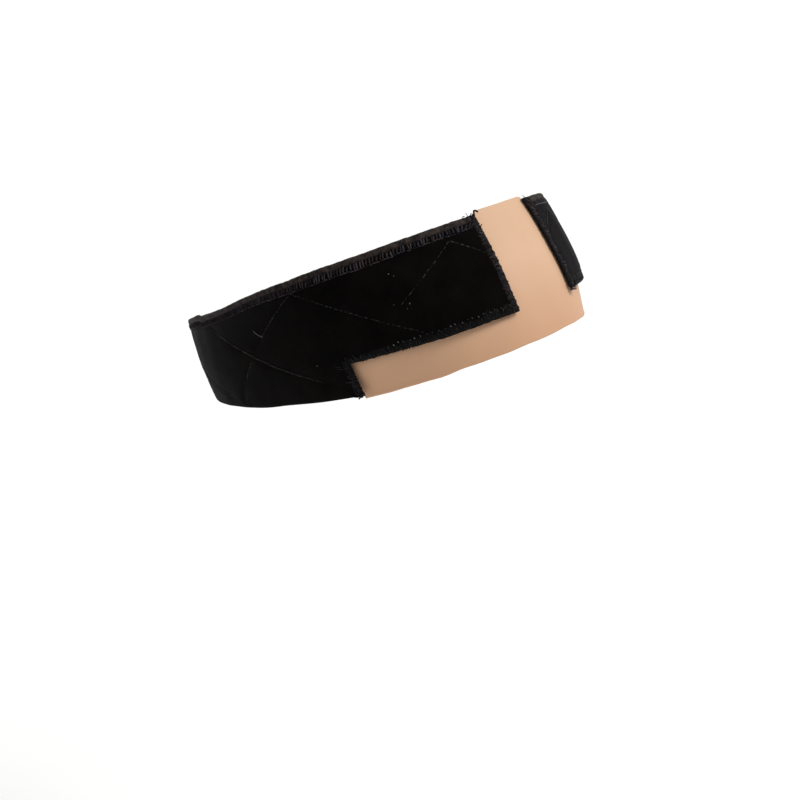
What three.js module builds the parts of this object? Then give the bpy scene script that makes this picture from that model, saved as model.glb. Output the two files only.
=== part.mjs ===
// Wig grip band: two velvet panels, a lace panel across the front and a fastening at the back.
// Millimetres, +Z up. The front is at -Y, and the band's right side, as worn, is at -X.
// The origin is the middle of the loop.

import * as THREE from 'three';

// Loop that the band's outer face follows at its middle line
const HALF_WIDTH = 69.5;
const FRONT_REACH = 102.5;
const BACK_REACH = 97;
const SQUARENESS = 2.4;
const BROW_RISE = 27.4;

// How far the wall leans in towards its top, in mm for each mm of height
const LEAN_FRONT = 0.175;
const LEAN_SIDE = -0.07;
const LEAN_BACK = 0.04;

// How far the wall's edges fall back behind its middle line, which bellies out
const BELLY_FRONT = 2.2;
const BELLY_SIDE = 2.7;
const BELLY_BACK = 2.2;

// Velvet panels: lengths are measured along the loop from the middle of the front
const BAND_HEIGHT = 54;
const FLAP_HEIGHT = 40.8;
const BROW_GAP = 34;
const STEP_REACH = 89.3;
const VELVET_WALL = 1.8;
const RIM_DEPTH = 0.8;
const RIM_SHARE = 0.45;

// Hems and thread-wrapped edges
const HEM_THICKNESS = 2.6;
const TOP_HEM_HEIGHT = 5;
const FLAP_HEM_HEIGHT = 3.6;
const OVERLOCK_WIDTH = 3.2;
const OVERLOCK_THICKNESS = 2.6;

// Lace panel across the front
const LACE_WALL = 1;
const LACE_HEIGHT = 54.2;
const LACE_RISE = 1;
const LACE_TUCK = 2.6;
const LACE_TUCK_REACH = 12;

// Fastening at the back
const END_OVERLAP = 48;
const END_RAMP = 34;
const FASTENER_THICKNESS = 1.4;
const FASTENER_LENGTH = 40;
const FASTENER_MARGIN = 4;

// Clearance between pieces that are sewn to each other
const SEAM_GAP = 0.3;

// Mesh steps
const COLUMN_STEP = 6;
const FLAP_ROWS = 6;
const SIDE_ROWS = 3;
const LACE_ROWS = 7;
const LOOP_STEPS = 920;
const LOOP_END = 230;

// Edges of the panels. angle is taken round the loop from the front, in degrees, and height is
// the edge's height above the middle line as a share of BAND_HEIGHT.
const TOP_EDGE = [
  { angle: 0, height: 0.497 },
  { angle: 15, height: 0.5 },
  { angle: 40, height: 0.502 },
  { angle: 65, height: 0.51 },
  { angle: 80, height: 0.504 },
  { angle: 95, height: 0.496 },
  { angle: 110, height: 0.493 },
  { angle: 140, height: 0.493 },
  { angle: 230, height: 0.495 },
];

const SIDE_EDGE = [
  { angle: 50, height: -0.52 },
  { angle: 65, height: -0.482 },
  { angle: 80, height: -0.449 },
  { angle: 95, height: -0.391 },
  { angle: 110, height: -0.326 },
  { angle: 125, height: -0.286 },
  { angle: 140, height: -0.28 },
  { angle: 155, height: -0.261 },
  { angle: 230, height: -0.25 },
];

// The lace's lower edge dips towards the sides. drop is a share of LACE_HEIGHT below the top edge.
const LACE_EDGE = [
  { angle: 0, drop: 1 },
  { angle: 30, drop: 1.006 },
  { angle: 60, drop: 1.022 },
  { angle: 90, drop: 1.022 },
];

// Section of a hem or wrapped edge, from its free edge inwards. at is a share of its width and
// thick a share of its thickness.
const ROLLED_SECTION = [
  { at: 0, thick: 0.45 },
  { at: 0.14, thick: 0.88 },
  { at: 0.4, thick: 1 },
  { at: 0.82, thick: 0.94 },
  { at: 1, thick: 0.7 },
];

const RIGHT = -1;
const LEFT = 1;

const velvet = new THREE.MeshStandardMaterial({ color: 0x0a0a0c, roughness: 0.95, metalness: 0 });
const hemCloth = new THREE.MeshStandardMaterial({ color: 0x16161a, roughness: 0.9, metalness: 0 });
const thread = new THREE.MeshStandardMaterial({ color: 0x2b2a33, roughness: 0.7, metalness: 0 });
const net = new THREE.MeshStandardMaterial({ color: 0xd8b08f, roughness: 0.75, metalness: 0 });
const hookTape = new THREE.MeshStandardMaterial({ color: 0x121214, roughness: 0.8, metalness: 0 });

// Smooth curve through a table's rows, with the slope at each row taken from its neighbours
function readTable(table, column, angle) {
  const last = table.length - 1;
  const at = Math.min(Math.max(angle, table[0].angle), table[last].angle);
  let i = 0;
  while (i < last - 1 && at > table[i + 1].angle) {
    i += 1;
  }
  const slopeAt = (k) => {
    const before = table[Math.max(k - 1, 0)];
    const after = table[Math.min(k + 1, last)];
    return (after[column] - before[column]) / (after.angle - before.angle);
  };
  const span = table[i + 1].angle - table[i].angle;
  const u = (at - table[i].angle) / span;
  const start = (2 * u ** 3 - 3 * u ** 2 + 1) * table[i][column];
  const end = (3 * u ** 2 - 2 * u ** 3) * table[i + 1][column];
  const startSlope = (u ** 3 - 2 * u ** 2 + u) * span * slopeAt(i);
  const endSlope = (u ** 3 - u ** 2) * span * slopeAt(i + 1);
  return start + end + startSlope + endSlope;
}

function signedPower(value, power) {
  return Math.sign(value) * Math.abs(value) ** power;
}

// Loop of the middle line: a superellipse with its own reach to the front and to the back
function loopPoint(angle) {
  const turn = THREE.MathUtils.degToRad(angle);
  const reach = Math.cos(turn) >= 0 ? FRONT_REACH : BACK_REACH;
  const x = HALF_WIDTH * signedPower(Math.sin(turn), 2 / SQUARENESS);
  const y = -reach * signedPower(Math.cos(turn), 2 / SQUARENESS);
  const normal = new THREE.Vector2(
    signedPower(x / HALF_WIDTH, SQUARENESS - 1) / HALF_WIDTH,
    signedPower(y / reach, SQUARENESS - 1) / reach,
  );
  return { x, y, normal: normal.normalize() };
}

// Length along the loop at even steps of angle, so that pieces can be placed by real lengths
function measureLoop() {
  const lengths = [0];
  let before = loopPoint(0);
  for (let i = 1; i <= LOOP_STEPS; i += 1) {
    const point = loopPoint((LOOP_END * i) / LOOP_STEPS);
    lengths.push(lengths[i - 1] + Math.hypot(point.x - before.x, point.y - before.y));
    before = point;
  }
  return lengths;
}

const loopLengths = measureLoop();

function angleAt(length) {
  let i = 1;
  while (i < LOOP_STEPS && loopLengths[i] < length) {
    i += 1;
  }
  const share = (length - loopLengths[i - 1]) / (loopLengths[i] - loopLengths[i - 1]);
  return (LOOP_END * (i - 1 + share)) / LOOP_STEPS;
}

function lengthAt(angle) {
  return loopLengths[Math.round((angle * LOOP_STEPS) / LOOP_END)];
}

const NAPE = lengthAt(180);
const END_REACH = NAPE + END_OVERLAP / 2;
const PANEL_START = BROW_GAP / 2 + OVERLOCK_WIDTH + SEAM_GAP;
const STEP_INNER = STEP_REACH + OVERLOCK_WIDTH + SEAM_GAP;

// The left end lies over the right end and the fastener, so it stands out by this much
const END_LIFT = VELVET_WALL + FASTENER_THICKNESS + 2 * SEAM_GAP;

function liftAt(side, length) {
  if (side === RIGHT) {
    return 0;
  }
  const rampEnd = NAPE - END_OVERLAP / 2 - RIM_DEPTH;
  return END_LIFT * THREE.MathUtils.smoothstep(length, rampEnd - END_RAMP, rampEnd);
}

function blendRound(angle, front, side, back) {
  const cosine = Math.cos(THREE.MathUtils.degToRad(angle));
  const end = cosine >= 0 ? front : back;
  return side + (end - side) * cosine ** 2;
}

// A point of the wall. depth counts outwards from the band's outer face.
function wallPoint(side, length, height, depth) {
  const angle = angleAt(Math.abs(length));
  const { x, y, normal } = loopPoint(angle);
  const lean = blendRound(angle, LEAN_FRONT, LEAN_SIDE, LEAN_BACK);
  const belly = blendRound(angle, BELLY_FRONT, BELLY_SIDE, BELLY_BACK);
  const fallBack = belly * (height / (BAND_HEIGHT / 2)) ** 2;
  const out = depth + liftAt(side, length) - lean * height - fallBack;
  return new THREE.Vector3(
    side * Math.sign(length) * (x + normal.x * out),
    y + normal.y * out,
    height,
  );
}

function topAt(length) {
  return BAND_HEIGHT * readTable(TOP_EDGE, 'height', angleAt(Math.abs(length)));
}

function flapEdgeAt(length) {
  return topAt(length) - FLAP_HEIGHT;
}

function sideEdgeAt(length) {
  return BAND_HEIGHT * readTable(SIDE_EDGE, 'height', angleAt(length));
}

// Even steps from one length to another
function steps(from, to, step = COLUMN_STEP) {
  const count = Math.max(1, Math.round((to - from) / step));
  return Array.from({ length: count + 1 }, (_, i) => from + ((to - from) * i) / count);
}

function evenly(from, to, count) {
  return Array.from({ length: count + 1 }, (_, i) => from + ((to - from) * i) / count);
}

// Closed wall over a grid of cells. spot(i, j, face) gives a corner, with face 1 outside and
// -1 inside, and filled(i, j) says whether the cell between corners i, i + 1 and j, j + 1 is there.
function wallOverGrid(columns, rows, spot, filled = () => true) {
  const positions = [];
  const indices = [];
  const known = new Map();
  const corner = (i, j, face) => {
    const key = `${i} ${j} ${face}`;
    if (!known.has(key)) {
      known.set(key, positions.length / 3);
      positions.push(...spot(i, j, face).toArray());
    }
    return known.get(key);
  };
  const isFilled = (i, j) => i >= 0 && j >= 0 && i < columns && j < rows && filled(i, j);
  const quad = (a, b, c, d) => indices.push(a, b, c, a, c, d);
  const side = (i, j, k, l) => quad(corner(i, j, 1), corner(i, j, -1), corner(k, l, -1), corner(k, l, 1));
  for (let i = 0; i < columns; i += 1) {
    for (let j = 0; j < rows; j += 1) {
      if (!isFilled(i, j)) {
        continue;
      }
      for (const face of [1, -1]) {
        const ring = [corner(i, j, face), corner(i + 1, j, face)];
        ring.push(corner(i + 1, j + 1, face), corner(i, j + 1, face));
        quad(...(face === 1 ? ring : ring.reverse()));
      }
      if (!isFilled(i, j - 1)) {
        side(i, j, i + 1, j);
      }
      if (!isFilled(i + 1, j)) {
        side(i + 1, j, i + 1, j + 1);
      }
      if (!isFilled(i, j + 1)) {
        side(i + 1, j + 1, i, j + 1);
      }
      if (!isFilled(i - 1, j)) {
        side(i, j + 1, i, j);
      }
    }
  }
  return facingOut(positions, indices);
}

// Turns every triangle over if the wall was built inside out, as a mirrored one is
function facingOut(positions, indices) {
  const point = (k) => new THREE.Vector3().fromArray(positions, 3 * k);
  let volume = 0;
  for (let k = 0; k < indices.length; k += 3) {
    const [a, b, c] = [0, 1, 2].map((n) => point(indices[k + n]));
    volume += a.dot(b.cross(c));
  }
  const faces = volume < 0 ? indices.reverse() : indices;
  const geometry = new THREE.BufferGeometry();
  geometry.setAttribute('position', new THREE.Float32BufferAttribute(positions, 3));
  geometry.setIndex(faces);
  geometry.computeVertexNormals();
  return geometry;
}

// Velvet wall between the hems. It has its full height from the step to the back, and only the
// flap's height in front of the step.
function velvetPanel(side) {
  const flapColumns = steps(PANEL_START, STEP_INNER);
  const sideColumns = steps(STEP_INNER, END_REACH - RIM_DEPTH).slice(1);
  const lengths = [...flapColumns, ...sideColumns, END_REACH];
  const stepColumn = flapColumns.length - 1;
  const heightsAt = (length) => {
    const low = sideEdgeAt(length);
    const fold = flapEdgeAt(length) + FLAP_HEM_HEIGHT + SEAM_GAP;
    const high = topAt(length) - TOP_HEM_HEIGHT - SEAM_GAP;
    const below = [low, ...evenly(low + RIM_DEPTH, fold, SIDE_ROWS)];
    return [...below, ...evenly(fold, high, FLAP_ROWS).slice(1)];
  };
  const foldRow = SIDE_ROWS + 1;
  const heights = lengths.map(heightsAt);
  const rim = (i, j) => (j === 0 || i === lengths.length - 1 ? RIM_SHARE : 1);
  const spot = (i, j, face) => {
    const depth = (VELVET_WALL / 2) * (face * rim(i, j) - 1);
    return wallPoint(side, lengths[i], heights[i][j], depth);
  };
  const filled = (i, j) => i >= stepColumn || j >= foldRow;
  return wallOverGrid(lengths.length - 1, foldRow + FLAP_ROWS, spot, filled);
}

// Rolled strip that runs along an edge. heightAt gives its free edge and inward its width,
// which is negative where the strip hangs down from that edge.
function hemStrip(side, from, to, heightAt, inward) {
  const lengths = steps(from, to);
  const spot = (i, j, face) => {
    const { at, thick } = ROLLED_SECTION[j];
    const depth = (HEM_THICKNESS * thick * face - VELVET_WALL) / 2;
    return wallPoint(side, lengths[i], heightAt(lengths[i]) + inward * at, depth);
  };
  return wallOverGrid(lengths.length - 1, ROLLED_SECTION.length - 1, spot);
}

// Upright strip of wrapped thread. from is its free edge.
function overlockStrip(side, from, lowAt, highAt) {
  const lengths = ROLLED_SECTION.map(({ at }) => from + OVERLOCK_WIDTH * at);
  const height = highAt(from) - lowAt(from);
  const rows = Math.max(2, Math.round(height / COLUMN_STEP));
  const spot = (i, j, face) => {
    const low = lowAt(lengths[i]);
    const high = highAt(lengths[i]);
    const depth = (OVERLOCK_THICKNESS * ROLLED_SECTION[i].thick * face - VELVET_WALL) / 2;
    return wallPoint(side, lengths[i], low + ((high - low) * j) / rows, depth);
  };
  return wallOverGrid(lengths.length - 1, rows, spot);
}

// Lace wall under both flaps, from one step to the other
function lacePanel() {
  const end = STEP_REACH + OVERLOCK_WIDTH;
  const lengths = steps(-end, end);
  const middle = -VELVET_WALL - (HEM_THICKNESS - VELVET_WALL) / 2 - SEAM_GAP - LACE_WALL / 2;
  const spot = (i, j, face) => {
    const length = lengths[i];
    const reach = Math.abs(length);
    const tuckStart = BROW_GAP / 2;
    const tuck = THREE.MathUtils.smoothstep(reach, tuckStart, tuckStart + LACE_TUCK_REACH);
    const high = topAt(length) + LACE_RISE - LACE_TUCK * tuck;
    const drop = LACE_HEIGHT * readTable(LACE_EDGE, 'drop', angleAt(reach));
    const low = topAt(length) - drop;
    const height = low + ((high - low) * j) / LACE_ROWS;
    return wallPoint(LEFT, length || Number.EPSILON, height, middle + (face * LACE_WALL) / 2);
  };
  return wallOverGrid(lengths.length - 1, LACE_ROWS, spot);
}

// Hook-and-loop strip between the two ends, on the right end's outer face
function fastenerStrip() {
  const lengths = steps(NAPE - FASTENER_LENGTH / 2, NAPE + FASTENER_LENGTH / 2);
  const middle = SEAM_GAP + FASTENER_THICKNESS / 2;
  const spot = (i, j, face) => {
    const low = sideEdgeAt(lengths[i]) + FASTENER_MARGIN;
    const high = topAt(lengths[i]) - TOP_HEM_HEIGHT - FASTENER_MARGIN;
    const height = low + ((high - low) * j) / FLAP_ROWS;
    return wallPoint(RIGHT, lengths[i], height, middle + (face * FASTENER_THICKNESS) / 2);
  };
  return wallOverGrid(lengths.length - 1, FLAP_ROWS, spot);
}

const band = new THREE.Group();

function addPiece(name, geometry, material) {
  const mesh = new THREE.Mesh(geometry, material);
  mesh.name = name;
  band.add(mesh);
}

for (const [word, side] of [['right', RIGHT], ['left', LEFT]]) {
  const foldAt = (length) => flapEdgeAt(length) + FLAP_HEM_HEIGHT;
  addPiece(`velvet_panel_${word}`, velvetPanel(side), velvet);
  addPiece(`top_hem_${word}`, hemStrip(side, PANEL_START, END_REACH, topAt, -TOP_HEM_HEIGHT), hemCloth);
  const flapHemEnd = STEP_REACH - SEAM_GAP;
  const flapHem = hemStrip(side, PANEL_START, flapHemEnd, flapEdgeAt, FLAP_HEM_HEIGHT);
  addPiece(`flap_hem_${word}`, flapHem, hemCloth);
  addPiece(`front_overlock_${word}`, overlockStrip(side, BROW_GAP / 2, flapEdgeAt, topAt), thread);
  addPiece(`notch_overlock_${word}`, overlockStrip(side, STEP_REACH, sideEdgeAt, foldAt), thread);
}
addPiece('lace_front_panel', lacePanel(), net);
addPiece('back_fastener', fastenerStrip(), hookTape);

// The loop sits higher at the front than at the back
band.rotation.x = -THREE.MathUtils.degToRad(BROW_RISE);

export default band;
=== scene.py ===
# Wig grip band as worn: quilted velvet panels, stitched edges, a lace panel and a fastening at the back.
import math

import bpy
import numpy as np
from mathutils import Matrix, Vector


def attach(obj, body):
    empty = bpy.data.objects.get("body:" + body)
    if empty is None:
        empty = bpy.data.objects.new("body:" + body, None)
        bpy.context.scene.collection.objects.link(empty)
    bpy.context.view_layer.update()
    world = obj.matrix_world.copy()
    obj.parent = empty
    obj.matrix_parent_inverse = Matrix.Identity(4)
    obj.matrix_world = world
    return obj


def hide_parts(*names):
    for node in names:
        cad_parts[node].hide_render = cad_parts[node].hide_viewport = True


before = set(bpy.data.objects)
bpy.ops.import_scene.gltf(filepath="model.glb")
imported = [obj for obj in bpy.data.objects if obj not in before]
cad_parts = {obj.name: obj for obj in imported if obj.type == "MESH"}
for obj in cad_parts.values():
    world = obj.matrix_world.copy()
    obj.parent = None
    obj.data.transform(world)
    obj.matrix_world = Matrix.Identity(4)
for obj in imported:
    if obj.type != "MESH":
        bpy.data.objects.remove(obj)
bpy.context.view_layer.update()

rng = np.random.default_rng(46)

# Units: the sizes below are millimetres along and out of the band, and meshes are in metres
MM = 0.001
RIGHT = -1
LEFT = 1

# The band's form, as the part has it
HALF_WIDTH = 69.5
FRONT_REACH = 102.5
BACK_REACH = 97
SQUARENESS = 2.4
BROW_RISE = math.radians(27.4)
LEAN = {"front": 0.175, "side": -0.07, "back": 0.04}
BELLY = {"front": 2.2, "side": 2.7, "back": 2.2}
BAND_HEIGHT = 54
FLAP_HEIGHT = 40.8
BROW_GAP = 34
STEP_REACH = 89.3
VELVET_WALL = 1.8
TOP_HEM_HEIGHT = 5
FLAP_HEM_HEIGHT = 3.6
OVERLOCK_WIDTH = 3.2
LACE_HEIGHT = 54.2
LACE_RISE = 1
LACE_TUCK = 2.6
LACE_TUCK_LEAD = 3
END_OVERLAP = 48
END_RAMP = 34
END_LIFT = 3.8
FASTENER_THICKNESS = 1.4
FASTENER_LENGTH = 40
FASTENER_MARGIN = 4
SEAM_GAP = 0.3
RIM_DEPTH = 0.8

# Edges: angle in degrees round the loop from the middle of the front, and height as a share of
# BAND_HEIGHT
TOP_EDGE = [(0, 0.497), (15, 0.5), (40, 0.502), (65, 0.51), (80, 0.504), (95, 0.496), (110, 0.493),
            (140, 0.493), (230, 0.495)]
SIDE_EDGE = [(50, -0.52), (65, -0.482), (80, -0.449), (95, -0.391), (110, -0.326), (125, -0.286),
             (140, -0.28), (155, -0.261), (230, -0.25)]
# How far the panels' lower edge sits above the part's: length along the loop, and millimetres
SIDE_TRIM = [(0, 0), (140, 0), (152, -0.25), (188, -0.3), (200, 0.05), (213, 0.6), (228, 0.6), (258, 0),
             (310, 0)]
# The lace's lower edge: angle, and drop below the top edge as a share of LACE_HEIGHT
LACE_EDGE = [(0, 1), (30, 1.006), (60, 1.022), (90, 1.022)]

# Fine surface
GRID = 1.0
CLOTH_EDGE = 0.9
TUCK = 1.2
TOP_TUCK = 0.45
QUILT_SINK = 0.3
QUILT_SPREAD = 1.5
HEM_LEAD = 0.6
FRONT_LEAD = 0.55
LOOP_END = 230
LOOP_STEPS = 4600

# The left panel's swell round its front corner: how far it stands out, and the lengths along the loop
# and drops below the top edge between which it rises and falls
CORNER_SWELL = 0.62
SWELL_ALONG = (24, 34, 60, 90)
SWELL_DROP = (2.5, 7, 34, 39)

# Quilting lines: start and end as length along the loop and drop below the top edge, how far the
# middle of the line bows downwards, the shares of the line where its stitches show, the thread's
# radius at either end, and how far it stands out of the pile
QUILT_LINES = [
    {"start": (33, 7), "end": (18.8, 17), "bow": -0.3, "seen": [(0, 1)], "thread": (0.24, 0.2), "out": 0},
    {"start": (33.5, 7), "end": (61, 24.6), "bow": 0, "seen": [(0, 1)], "thread": (0.14, 0.14), "out": 0},
    {"start": (106.5, 5.6), "end": (53, 37), "bow": 0, "seen": [(0, 1)], "thread": (0.14, 0.14), "out": 0},
    {"start": (107, 6.5), "end": (166, 42), "bow": -2.6, "seen": [(0, 0.42), (0.63, 0.8)],
     "thread": (0.14, 0.16), "out": 0},
    {"start": (168.6, 7.6), "end": (93, 49), "bow": 3.3, "seen": [(0, 0.84)],
     "thread": (0.27, 0.14), "out": 0.14},
    {"start": (203.4, 25), "end": (228, 38), "bow": 0, "seen": [(0, 1)], "thread": (0.14, 0.14), "out": 0},
    {"start": (238, 6.5), "end": (176, 39.6), "bow": 1, "seen": [(0, 1)],
     "thread": (0.14, 0.24), "out": 0.16},
    {"start": (238.5, 6.5), "end": (290, 36), "bow": 0, "seen": [(0, 1)], "thread": (0.14, 0.14), "out": 0},
]

# Thread
BAR_PITCH = 1.44
BAR_RADIUS = 0.26
WRAP_PITCH = 1.2
WRAP_RADIUS = 0.25
FINE_RADIUS = 0.11
QUILT_STITCH = 2.2
QUILT_SPACE = 0.05
DOT_PITCH = 2.25

# Photo frame and camera
PHOTO_SIDE = 800
LENS = 46.3
SENSOR = 36
CAMERA_TURN = math.radians(46)
CAMERA_PITCH = math.radians(27.4)
CAMERA_DISTANCE = 0.48
SEAT_PIXEL = (373.2, 314.8)
FLOOR_DROP = 0.5
FLOOR_REACH = 8

# Light: the world's strength, and soft suns with the direction towards each, its strength, its spread
# in degrees and its colour
WORLD_STRENGTH = 0.46
SUNS = {
    "key": {"source": (0.38, -0.62, 1.0), "strength": 2.2, "spread": 24, "colour": (1, 0.985, 0.96)},
    "side": {"source": (1.0, 0.15, 0.45), "strength": 0.6, "spread": 60, "colour": (1, 1, 1)},
}


# Surface of the band

def read_table(rows, angle):
    """Smooth curve through a table's rows, with each slope taken from the neighbours."""
    at, value = np.array(rows, float).T
    before = np.maximum(np.arange(len(at)) - 1, 0)
    after = np.minimum(np.arange(len(at)) + 1, len(at) - 1)
    slope = (value[after] - value[before]) / (at[after] - at[before])
    angle = np.clip(angle, at[0], at[-1])
    i = np.clip(np.searchsorted(at, angle) - 1, 0, len(at) - 2)
    span = at[i + 1] - at[i]
    u = (angle - at[i]) / span
    level = (2 * u**3 - 3 * u**2 + 1) * value[i] + (3 * u**2 - 2 * u**3) * value[i + 1]
    return level + ((u**3 - 2 * u**2 + u) * slope[i] + (u**3 - u**2) * slope[i + 1]) * span


def signed_power(value, power):
    return np.sign(value) * np.abs(value) ** power


def loop_point(angle):
    turn = np.radians(angle)
    reach = np.where(np.cos(turn) >= 0, FRONT_REACH, BACK_REACH)
    x = HALF_WIDTH * signed_power(np.sin(turn), 2 / SQUARENESS)
    y = -reach * signed_power(np.cos(turn), 2 / SQUARENESS)
    normal = np.stack([signed_power(x / HALF_WIDTH, SQUARENESS - 1) / HALF_WIDTH,
                       signed_power(y / reach, SQUARENESS - 1) / reach], -1)
    return x, y, normal / np.linalg.norm(normal, axis=-1, keepdims=True)


LOOP_ANGLES = np.linspace(0, LOOP_END, LOOP_STEPS + 1)
LOOP_X, LOOP_Y, _ = loop_point(LOOP_ANGLES)
LOOP_LENGTHS = np.concatenate([[0], np.cumsum(np.hypot(np.diff(LOOP_X), np.diff(LOOP_Y)))])


def angle_at(length):
    return np.interp(np.abs(length), LOOP_LENGTHS, LOOP_ANGLES)


NAPE = float(np.interp(180, LOOP_ANGLES, LOOP_LENGTHS))
END_REACH = NAPE + END_OVERLAP / 2
PANEL_START = BROW_GAP / 2 + OVERLOCK_WIDTH + SEAM_GAP
STEP_INNER = STEP_REACH + OVERLOCK_WIDTH + SEAM_GAP


def smoothstep(value, low, high):
    u = np.clip((value - low) / (high - low), 0, 1)
    return u * u * (3 - 2 * u)


def plateau(value, rise_start, rise_end, fall_start, fall_end):
    """0 outside the outer two places, and 1 between the inner two."""
    return smoothstep(value, rise_start, rise_end) * (1 - smoothstep(value, fall_start, fall_end))


def blend_round(angle, by_place):
    cosine = np.cos(np.radians(angle))
    end = np.where(cosine >= 0, by_place["front"], by_place["back"])
    return by_place["side"] + (end - by_place["side"]) * cosine**2


def wall(side, length, height, depth):
    """Points of the band in metres. length runs from the middle of the front, height from the middle
    line, and depth out of the band's outer face, all in millimetres. The left side lifts over the right
    one at the back, and swells a little round its front corner."""
    length, height, depth = np.broadcast_arrays(*(np.asarray(v, float) for v in (length, height, depth)))
    angle = angle_at(length)
    x, y, normal = loop_point(angle)
    ramp_end = NAPE - END_OVERLAP / 2 - RIM_DEPTH
    lift = END_LIFT * smoothstep(length, ramp_end - END_RAMP, ramp_end) * (side == LEFT)
    fall_back = blend_round(angle, BELLY) * (height / (BAND_HEIGHT / 2)) ** 2
    drop = BAND_HEIGHT * read_table(TOP_EDGE, angle) - height
    swell = CORNER_SWELL * plateau(length, *SWELL_ALONG) * plateau(drop, *SWELL_DROP) * (side == LEFT)
    out = depth + lift + swell - blend_round(angle, LEAN) * height - fall_back
    across = side * np.where(length < 0, -1, 1) * (x + normal[..., 0] * out)
    along = y + normal[..., 1] * out
    cosine, sine = math.cos(BROW_RISE), math.sin(BROW_RISE)
    return np.stack([across, along * cosine + height * sine, height * cosine - along * sine], -1) * MM


def top_at(length):
    return BAND_HEIGHT * read_table(TOP_EDGE, angle_at(length))


def flap_edge_at(length):
    return top_at(length) - FLAP_HEIGHT


def side_edge_at(length):
    return BAND_HEIGHT * read_table(SIDE_EDGE, angle_at(length))


# Mesh helpers

def steps(start, end, step):
    return np.linspace(start, end, max(2, round(abs(end - start) / step) + 1))


def shell(outer, inner, filled=None):
    """Closed wall between two grids of points. filled leaves out the cells where it is false."""
    columns, rows = outer.shape[0] - 1, outer.shape[1] - 1
    index = np.arange(outer.shape[0] * outer.shape[1]).reshape(outer.shape[:2])
    filled = np.ones((columns, rows), bool) if filled is None else filled
    a, b, c, d = index[:-1, :-1], index[1:, :-1], index[1:, 1:], index[:-1, 1:]
    front = np.stack([a, b, c, d], -1)[filled]
    faces = [front, front[:, ::-1] + index.size]
    around = np.pad(filled, 1)
    for i, j, p, q in ((0, -1, a, b), (1, 0, b, c), (0, 1, c, d), (-1, 0, d, a)):
        rim = filled & ~around[1 + i:1 + i + columns, 1 + j:1 + j + rows]
        faces.append(np.stack([q[rim], p[rim], p[rim] + index.size, q[rim] + index.size], -1))
    return np.concatenate([outer.reshape(-1, 3), inner.reshape(-1, 3)]), np.concatenate(faces)


def curve_through(points, count):
    """Smooth lines through control points. points is (lines, points, 3)."""
    points = np.asarray(points, float)
    before = 2 * points[:, :1] - points[:, 1:2]
    after = 2 * points[:, -1:] - points[:, -2:-1]
    ends = np.concatenate([before, points, after], 1)
    at = np.linspace(0, points.shape[1] - 1, count)
    i = np.minimum(at.astype(int), points.shape[1] - 2)
    u = (at - i)[None, :, None]
    p = [ends[:, i + k] for k in range(4)]
    return 0.5 * (2 * p[1] + (p[2] - p[0]) * u + (2 * p[0] - 5 * p[1] + 4 * p[2] - p[3]) * u**2
                  + (3 * p[1] - p[0] - 3 * p[2] + p[3]) * u**3)


class Threads:
    """Round strands gathered into one mesh, each with its own shade from 0 to 1."""

    def __init__(self):
        self.points, self.quads, self.triangles, self.shades, self.count = [], [], [], [], 0

    def add(self, lines, radius, sides, shade, taper=0.6):
        """lines is (strands, points, 3) in metres, and radius in millimetres."""
        lines = np.asarray(lines, float)
        strands, places = lines.shape[:2]
        forward = np.gradient(lines, axis=1)
        forward /= np.maximum(np.linalg.norm(forward, axis=2, keepdims=True), 1e-12)
        across = np.cross(forward[:, 0], [0.31, 0.52, 0.8])
        rings = []
        turn = np.arange(sides) * 2 * math.pi / sides
        thick = np.ones(places)
        thick[[0, -1]] = taper
        radius = np.broadcast_to(np.asarray(radius, float), (strands,)) * MM
        for k in range(places):
            across = across - forward[:, k] * (across * forward[:, k]).sum(1, keepdims=True)
            across /= np.linalg.norm(across, axis=1, keepdims=True)
            other = np.cross(forward[:, k], across)
            ring = across[:, None] * np.cos(turn)[:, None] + other[:, None] * np.sin(turn)[:, None]
            rings.append(lines[:, k, None] + ring * radius[:, None, None] * thick[k])
        tube = np.stack(rings, 1)
        tips = np.stack([lines[:, 0] - forward[:, 0] * radius[:, None] * 0.5,
                         lines[:, -1] + forward[:, -1] * radius[:, None] * 0.5], 1)
        each = places * sides + 2
        points = np.concatenate([tube.reshape(strands, -1, 3), tips], 1)
        ring = np.arange(sides)
        after = (ring + 1) % sides
        first = (np.arange(places - 1) * sides)[:, None]
        quads = np.stack([first + ring, first + after, first + sides + after, first + sides + ring], -1)
        last = (places - 1) * sides
        caps = np.concatenate([np.stack([after, ring, np.full(sides, each - 2)], -1),
                               np.stack([last + ring, last + after, np.full(sides, each - 1)], -1)])
        start = self.count + np.arange(strands)[:, None, None] * each
        self.points.append(points.reshape(-1, 3))
        self.quads.append((quads.reshape(1, -1, 4) + start).reshape(-1, 4))
        self.triangles.append((caps[None] + start).reshape(-1, 3))
        self.shades.append(np.repeat(np.broadcast_to(shade, (strands,)), each))
        self.count += strands * each

    def add_shell(self, points, faces, shade):
        self.points.append(points)
        self.quads.append(faces + self.count)
        self.shades.append(np.full(len(points), shade))
        self.count += len(points)

    def piece(self, name, material, slot):
        return add_piece(name, np.concatenate(self.points), np.concatenate(self.quads), material,
                         {"shade": np.concatenate(self.shades)}, np.concatenate(self.triangles))


def facing_out(points, quads, triangles):
    """The faces, turned over if the mesh was built inside out, as a mirrored one is."""
    a, b, c = (points[quads[:, k]] for k in range(3))
    d = points[quads[:, 3]]
    volume = (a * np.cross(b, c)).sum() + (a * np.cross(c, d)).sum()
    if len(triangles):
        p, q, r = (points[triangles[:, k]] for k in range(3))
        volume += (p * np.cross(q, r)).sum()
    return (quads[:, ::-1], triangles[:, ::-1]) if volume < 0 else (quads, triangles)


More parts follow.
